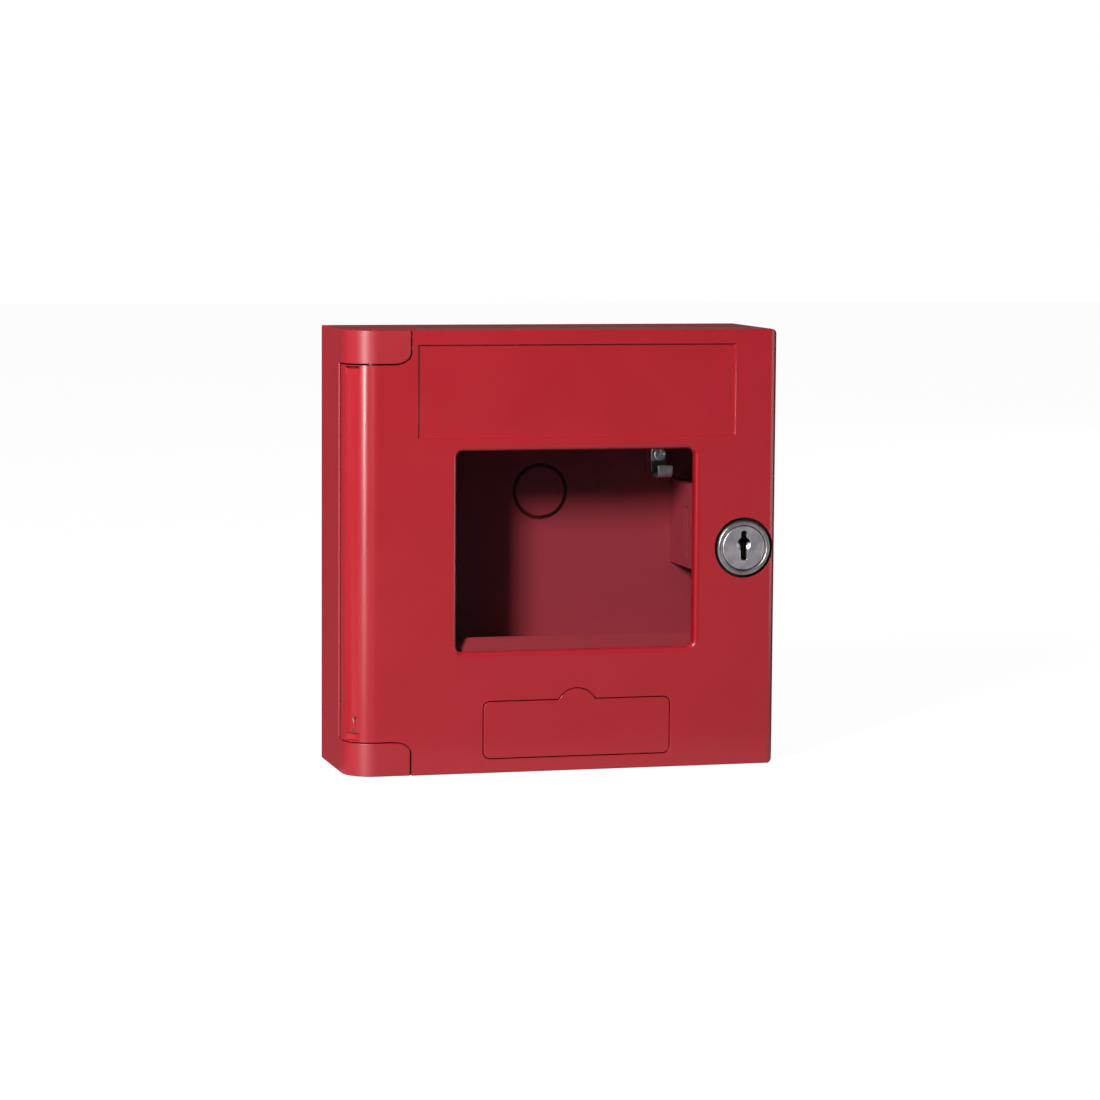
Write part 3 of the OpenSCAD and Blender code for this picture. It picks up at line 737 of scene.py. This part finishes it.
# %% Bend the hook
STRIP, INNER_BEND, TIP = 1.2, 0.6, 4.0
OUTER_BEND = STRIP + INNER_BEND
ROUND_CORNER, HOOK_BURR = 0.9, 0.12


def pull(*way):
    """Extrudes what is selected along a way in millimetres."""
    bpy.ops.mesh.extrude_region_move(TRANSFORM_OT_translate={"value": Vector(way) * MM})


def bend(y, z):
    """Spins what is selected by a quarter turn round a line along X."""
    bpy.ops.mesh.spin(steps=6, angle=math.radians(90), center=(0, y * MM, z * MM),
                      axis=(1, 0, 0))


hook_low, hook_high = box_mm("key_hook")
hook = start_mesh("hook_strip", bpy.ops.mesh.primitive_plane_add,
                  ((hook_low.x + hook_high.x) / 2, hook_high.y - STRIP / 2, hook_high.z),
                  ((hook_high.x - hook_low.x) * MM, STRIP * MM, 1), size=1)
edit_all("FACE")
pull(0, 0, hook_low.z + OUTER_BEND - hook_high.z)
bend(hook_high.y - OUTER_BEND, hook_low.z + OUTER_BEND)
pull(0, hook_low.y - hook_high.y + 2 * OUTER_BEND, 0)
bend(hook_low.y + OUTER_BEND, hook_low.z + OUTER_BEND)
pull(0, 0, TIP - OUTER_BEND)
clean_up()


def hook_edge(at, normals, edge):
    """The tip and the top end have round corners, and all other edges lose their burr."""
    across_strip = edge.calc_length() < (STRIP + 0.1) * MM
    if abs(normals[0].y) < 0.1 and abs(normals[1].y) < 0.1 and across_strip:
        return ROUND_CORNER
    return HOOK_BURR


soften(hook, hook_edge)
dress(hook, hook_steel, "case", "key_hook")

# %% [markdown]
# ## Small metal parts
# Clips, pins, washers, the cam and the wafers are stamped or turned, and their edges are
# tumbled smooth before plating. The screws have pan heads, with a wide round rim and a crisp
# cross. All of them already have the right shape, so each is copied and only its edges are
# rounded. The first table gives each part its new name, its finish, its slot and the width. The
# screws share one finish, and RIM and RIM_WIDTH are shares of the radius of a screw's head.

# %% Soften the small parts
SMALL = {
    "glass_clip_left": ("pane_clip_left", spring_steel, "spring_steel", 0.25),
    "glass_clip_right": ("pane_clip_right", spring_steel, "spring_steel", 0.25),
    "hinge_pin_upper": ("upper_pin", zinc_steel, "zinc_steel", 0.4),
    "hinge_pin_lower": ("lower_pin", zinc_steel, "zinc_steel", 0.4),
    "lock_wafers": ("wafers", wafer_brass, "wafer_brass", 0.06),
    "lock_clip": ("lock_spring", spring_steel, "spring_steel", 0.15),
    "stop_washer": ("stop_ring", zinc_steel, "zinc_steel", 0.1),
    "lock_cam": ("locking_cam", zinc_steel, "zinc_steel", 0.25),
    "cam_washer": ("washer", zinc_steel, "zinc_steel", 0.1)}
for node, (name, finish, slot, width) in SMALL.items():
    part = copy_part(node, name)
    soften(part, lambda at, normals, edge: width, 2)
    dress(part, finish, frame["nodes"][node]["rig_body"], node)

SCREWS = {"glass_screw_left": "pane_screw_left", "glass_screw_right": "pane_screw_right",
          "cam_screw": "lock_screw", "hook_screw": "wall_screw"}
RIM, RIM_WIDTH, CROSS_EDGE, FOOT_EDGE = 0.9, 0.3, 0.08, 0.06
for node, name in SCREWS.items():
    corner, other = box_mm(node)
    middle, radius = (corner + other) / 2, (other.x - corner.x) / 2
    head = corner.y if node == "hook_screw" else other.y

    def screw_edge(at, normals, edge):
        """The rim of the head is wide, its cross and its foot are fine."""
        at_rim = math.hypot(at.x - middle.x, at.z - middle.z) > radius * RIM
        if abs(at.y - head) < 0.05:
            return radius * RIM_WIDTH if at_rim else CROSS_EDGE
        return FOOT_EDGE if at_rim else 0

    screw = copy_part(node, name)
    soften(screw, screw_edge)
    dress(screw, zinc_steel, frame["nodes"][node]["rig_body"], node)
print("small parts:", len(SMALL) + len(SCREWS))

# %% [markdown]
# ## The studio
# A small soft lamp stands to the left and above, 1.2 m away, so the light falls off a little
# across the door, and it throws the dark band along the top and the left of the window. The
# other lamps do one thing each, which Blender allows by hiding a lamp from glossy or from
# diffuse light. Two tall strips show only as reflections, the bright bands on the rounded side.
# A cool panel close by at the right lays a pale line on the round right edge and lights the
# metal of the lock. Two lamps far to the sides show in no reflection: one lights the left side
# of the case, and one behind it at the right lights the right side and the back, which face
# away from the camera. With one big lamp these could not be set apart.

# %% Lamps
def lamp(name, azimuth, elevation, distance, width, height, watts,
         colour=(1, 1, 1), lights=True, shines=True):
    """A soft lamp aimed at the box. Azimuth 0 is straight in front, and to the left is minus.
    Distance and size are in metres. A lamp that lights nothing still shows in a reflection."""
    light = bpy.data.lights.new(name, "AREA")
    light.shape, light.size, light.size_y, light.energy = "RECTANGLE", width, height, watts
    light.color = colour
    thing = bpy.data.objects.new(name, light)
    bpy.context.collection.objects.link(thing)
    a, e = math.radians(azimuth), math.radians(elevation)
    way = Vector((math.sin(a) * math.cos(e), -math.cos(a) * math.cos(e), math.sin(e)))
    thing.location = way * distance
    thing.rotation_euler = (-way).to_track_quat("-Z", "Y").to_euler()
    thing.visible_diffuse, thing.visible_glossy, thing.visible_camera = lights, shines, False


COOL = (0.8, 0.92, 1)
# Each call: name, azimuth, elevation, distance, width, height, watts.
lamp("key_lamp", -39.5, 25.1, 1.2, 0.18, 0.24, 16.8)
lamp("left_strip", -39.5, 5, 1.6, 0.12, 0.72, 24, lights=False)
lamp("broad_strip", -11, 5, 1.6, 0.42, 0.72, 2.4, lights=False)
lamp("right_panel", 58, 0, 0.38, 0.25, 0.138, 0.3, COOL, lights=False)
lamp("side_lamp", -104, -3, 1.6, 0.6, 0.6, 12.5, shines=False)
lamp("back_lamp", 125, -2, 1.6, 0.6, 0.6, 18, shines=False)

# %% [markdown]
# ## Backdrop and floor
# The world is white where the camera looks at it, dim in a mirror, and dimmer still where it
# lights the box. The floor is a dark grey sheet, because a white one would throw red light from
# the box back on the box. For the camera it also has its own light, which brings it to white
# and still shows the soft shadow under the box.
# The face of the door is glossy, and from the camera it mirrors the floor in front of it. An
# evenly white floor would lay a pale veil on all of the red. So the floor has its own strength
# for mirrors, which changes from place to place, and this glow is painted light: the bright band
# right in front of the box lays a painted reflection on the lower rim of the lock and the foot of
# the door. BEFORE_BOX and BESIDE_BOX are places along Y in millimetres, and FAR_OFF and NEAR are
# limits of a sum that slants between X and Y.

# %% Backdrop and floor
class Backdrop(Finish):
    """The world is written in the same way as a material."""

    def __init__(self, name):
        self.material = bpy.data.worlds.new(name)
        bpy.context.scene.world = self.material
        self.material.use_nodes = True
        self.tree = self.material.node_tree
        self.tree.nodes.clear()
        self.out = self.tree.nodes.new("ShaderNodeOutputWorld")


def shows_white(f, seen, mirrored):
    """How white this is for the camera, also through glass, and how white in a mirror."""
    camera_ray = f.node("ShaderNodeLightPath", {}, {}, "Is Camera Ray")
    rays = camera_ray.socket.node.outputs
    through, glossy = Wire(f, rays["Is Transmission Ray"]), Wire(f, rays["Is Glossy Ray"])
    return (camera_ray + through) * seen + glossy * mirrored


FAR_OFF, NEAR, BEFORE_BOX, BESIDE_BOX = -900, -300, -85, -30


def veil(f):
    """How white the floor is in a mirror, as a painted reflection: weak far away and at the left,
    stronger towards the box, strongest right in front of it, and weak again beside and behind it."""
    x, y = place_mm(f)[:2]
    slow = spread(f, x * 0.6 + y * 0.7, FAR_OFF, NEAR, 0.04, 0.46)
    bright = slow + above(f, y, BEFORE_BOX, 8) * 0.6
    return bright * (1 - above(f, y, BESIDE_BOX, 10)) + 0.06


WHITE, GREY = (1, 1, 1, 1), (0.1, 0.1, 0.1, 1)
WORLD_SEEN, WORLD_MIRRORED, AMBIENT, FLOOR_SEEN = 0.985, 0.1, 0.015, 0.972
studio = Backdrop("studio")
strength = shows_white(studio, WORLD_SEEN, WORLD_MIRRORED) + AMBIENT
studio.surface(studio.node("ShaderNodeBackground", {}, {"Color": WHITE, "Strength": strength}))

UNDER_THE_BOX, FLOOR_SIZE = 0.2, 8
floor = start_mesh("floor", bpy.ops.mesh.primitive_plane_add,
                   (0, 0, low.z / MM - UNDER_THE_BOX), (1, 1, 1), size=FLOOR_SIZE)
sheet = Finish("floor_sheet")
lit = sheet.node("ShaderNodeBsdfDiffuse", {}, {"Color": GREY})
glow = sheet.node("ShaderNodeEmission", {}, {"Color": WHITE, "Strength": 1.0})
own_light = sheet.node("ShaderNodeMixShader", {}, {
    0: shows_white(sheet, FLOOR_SEEN, veil(sheet)), 2: glow})
both = sheet.node("ShaderNodeAddShader", {}, {0: lit, 1: own_light})
floor.data.materials.append(sheet.surface(both))
print("floor in m:", FLOOR_SIZE, "at height:", round(low.z - UNDER_THE_BOX * MM, 4))
